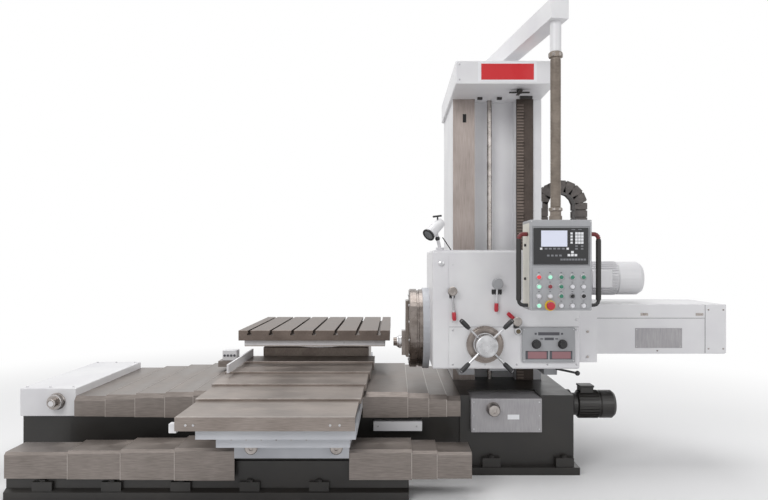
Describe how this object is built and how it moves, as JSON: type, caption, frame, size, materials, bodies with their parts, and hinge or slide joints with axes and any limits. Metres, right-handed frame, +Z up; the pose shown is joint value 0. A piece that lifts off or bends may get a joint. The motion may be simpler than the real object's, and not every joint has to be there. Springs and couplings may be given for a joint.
{
  "type": "horizontal boring mill",
  "caption": "Table-type horizontal boring mill: cross bed with telescopic covers, T-slotted rotary table, headstock on a fixed column, facing head and swinging control pendant.",
  "frame": {"origin": "on the underside of the main bed, on its centreline, below the axis of the rotary table in X", "axes": "+X along the bed towards the column, +Y away from the operator, +Z up"},
  "size_m": [5.208, 3.107, 3.26],
  "materials": {
    "black_paint": "semi-gloss",
    "white_paint": "semi-gloss",
    "grey_paint": "semi-gloss",
    "cover_steel": "brushed",
    "ground_iron": "ground",
    "bright_steel": "polished",
    "black_plastic": "matte"
  },
  "bodies": {
    "bed": {"main_bed": "black_paint", "front_bed": "black_paint", "column_base": "black_paint", "bed_end_box": "white_paint", "base_panel": "cover_steel", "column": "white_paint", "column_cap": "white_paint", "rack": "ground_iron", "lead_screw": "bright_steel", "feed_motor": "black_paint", "bed_cover_left_0": "cover_steel", "bed_cover_right_0": "cover_steel", "front_cover_left_0": "cover_steel", "front_cover_right_0": "cover_steel"},
    "saddle": {"saddle": "grey_paint", "saddle_apron": "grey_paint", "bed_cover_left_4": "cover_steel", "bed_cover_right_3": "cover_steel", "front_cover_left_3": "cover_steel", "front_cover_right_2": "cover_steel", "cross_cover_0": "cover_steel"},
    "left_cover_1": {"bed_cover_left_1": "cover_steel"},
    "left_cover_2": {"bed_cover_left_2": "cover_steel"},
    "left_cover_3": {"bed_cover_left_3": "cover_steel"},
    "right_cover_1": {"bed_cover_right_1": "cover_steel"},
    "right_cover_2": {"bed_cover_right_2": "cover_steel"},
    "front_left_cover_1": {"front_cover_left_1": "cover_steel"},
    "front_left_cover_2": {"front_cover_left_2": "cover_steel"},
    "front_right_cover_1": {"front_cover_right_1": "cover_steel"},
    "cross_cover_1": {"cross_cover_1": "cover_steel"},
    "cross_cover_2": {"cross_cover_2": "cover_steel"},
    "cross_cover_3": {"cross_cover_3": "cover_steel"},
    "cross_slide": {"cross_slide": "ground_iron", "rotary_base": "bright_steel", "cross_cover_4": "cover_steel", "side_guard": "white_paint", "switch_shelf": "cover_steel"},
    "table": {"rotary_table": "ground_iron", "table_slab": "white_paint"},
    "headstock": {"headstock": "white_paint", "head_cover": "white_paint", "bearing_ring": "grey_paint", "control_panel": "grey_paint", "tail_housing": "white_paint", "speed_motor": "white_paint", "cable_chain": "black_plastic", "work_lamp": "white_paint"},
    "facing_head": {"faceplate": "ground_iron", "facing_slide": "ground_iron"},
    "feed_handle": {"star_handle": "bright_steel"},
    "gear_lever_left": {"lever_left": "grey_paint"},
    "gear_lever_middle": {"lever_middle": "grey_paint"},
    "gear_lever_right": {"lever_right": "grey_paint"},
    "arm": {"pendant_arm": "white_paint", "pendant_tube": "bright_steel"},
    "pendant": {"pendant_box": "grey_paint", "screen_panel": "black_plastic", "button_panel": "grey_paint", "pendant_handle_left": "black_plastic", "pendant_handle_right": "black_plastic"}
  },
  "joints": [
    {"name": "saddle_travel", "type": "slide", "parent": "bed", "child": "saddle", "axis": [-1, 0, 0], "range_m": [0, 0.6]},
    {"name": "cross_travel", "type": "slide", "parent": "saddle", "child": "cross_slide", "axis": [0, -1, 0], "range_m": [0, 1.1]},
    {"name": "table_turn", "type": "hinge", "parent": "cross_slide", "child": "table", "pos_m": [0, 0.77, 0.82], "axis": [0, 0, 1], "continuous": true},
    {"name": "headstock_travel", "type": "slide", "parent": "bed", "child": "headstock", "axis": [0, 0, 1], "range_m": [0, 0.9]},
    {"name": "facing_head_spin", "type": "hinge", "parent": "headstock", "child": "facing_head", "pos_m": [0.79, -0.175, 1.02], "axis": [1, 0, 0], "continuous": true},
    {"name": "feed_handle_turn", "type": "hinge", "parent": "headstock", "child": "feed_handle", "pos_m": [1.317, -0.85, 0.967], "axis": [0, 1, 0], "continuous": true},
    {"name": "lever_left_turn", "type": "hinge", "parent": "headstock", "child": "gear_lever_left", "pos_m": [1.086, -0.8, 1.3425], "axis": [0, 1, 0], "range_deg": [-30, 30]},
    {"name": "lever_middle_turn", "type": "hinge", "parent": "headstock", "child": "gear_lever_middle", "pos_m": [1.401, -0.8, 1.396], "axis": [0, 1, 0], "range_deg": [-35, 35]},
    {"name": "lever_right_turn", "type": "hinge", "parent": "headstock", "child": "gear_lever_right", "pos_m": [1.539, -0.8, 1.13], "axis": [0, 1, 0], "range_deg": [-40, 40]},
    {"name": "arm_swing", "type": "hinge", "parent": "bed", "child": "arm", "pos_m": [1.476, 0.425, 3.1], "axis": [0, 0, 1], "range_deg": [-10, 25]},
    {"name": "pendant_swivel", "type": "hinge", "parent": "arm", "child": "pendant", "pos_m": [1.74, -1.095, 1.82], "axis": [0, 0, 1], "range_deg": [-60, 60]},
    {"name": "left_cover_1_slide", "type": "slide", "parent": "bed", "child": "left_cover_1", "axis": [-1, 0, 0], "range_m": [0, 0.15]},
    {"name": "left_cover_2_slide", "type": "slide", "parent": "left_cover_1", "child": "left_cover_2", "axis": [-1, 0, 0], "range_m": [0, 0.15]},
    {"name": "left_cover_3_slide", "type": "slide", "parent": "left_cover_2", "child": "left_cover_3", "axis": [-1, 0, 0], "range_m": [0, 0.15]},
    {"name": "right_cover_1_slide", "type": "slide", "parent": "bed", "child": "right_cover_1", "axis": [-1, 0, 0], "range_m": [0, 0.2]},
    {"name": "right_cover_2_slide", "type": "slide", "parent": "right_cover_1", "child": "right_cover_2", "axis": [-1, 0, 0], "range_m": [0, 0.2]},
    {"name": "front_left_cover_1_slide", "type": "slide", "parent": "bed", "child": "front_left_cover_1", "axis": [-1, 0, 0], "range_m": [0, 0.2]},
    {"name": "front_left_cover_2_slide", "type": "slide", "parent": "front_left_cover_1", "child": "front_left_cover_2", "axis": [-1, 0, 0], "range_m": [0, 0.2]},
    {"name": "front_right_cover_1_slide", "type": "slide", "parent": "bed", "child": "front_right_cover_1", "axis": [-1, 0, 0], "range_m": [0, 0.3]},
    {"name": "cross_cover_1_slide", "type": "slide", "parent": "saddle", "child": "cross_cover_1", "axis": [0, -1, 0], "range_m": [0, 0.275]},
    {"name": "cross_cover_2_slide", "type": "slide", "parent": "cross_cover_1", "child": "cross_cover_2", "axis": [0, -1, 0], "range_m": [0, 0.275]},
    {"name": "cross_cover_3_slide", "type": "slide", "parent": "cross_cover_2", "child": "cross_cover_3", "axis": [0, -1, 0], "range_m": [0, 0.275]}
  ],
  "couplings": [
    {"joint": "left_cover_1_slide", "follows": "saddle_travel", "ratio": 0.25},
    {"joint": "left_cover_2_slide", "follows": "saddle_travel", "ratio": 0.25},
    {"joint": "left_cover_3_slide", "follows": "saddle_travel", "ratio": 0.25},
    {"joint": "right_cover_1_slide", "follows": "saddle_travel", "ratio": 0.33333},
    {"joint": "right_cover_2_slide", "follows": "saddle_travel", "ratio": 0.33333},
    {"joint": "front_left_cover_1_slide", "follows": "saddle_travel", "ratio": 0.33333},
    {"joint": "front_left_cover_2_slide", "follows": "saddle_travel", "ratio": 0.33333},
    {"joint": "front_right_cover_1_slide", "follows": "saddle_travel", "ratio": 0.5},
    {"joint": "cross_cover_1_slide", "follows": "cross_travel", "ratio": 0.25},
    {"joint": "cross_cover_2_slide", "follows": "cross_travel", "ratio": 0.25},
    {"joint": "cross_cover_3_slide", "follows": "cross_travel", "ratio": 0.25}
  ]
}
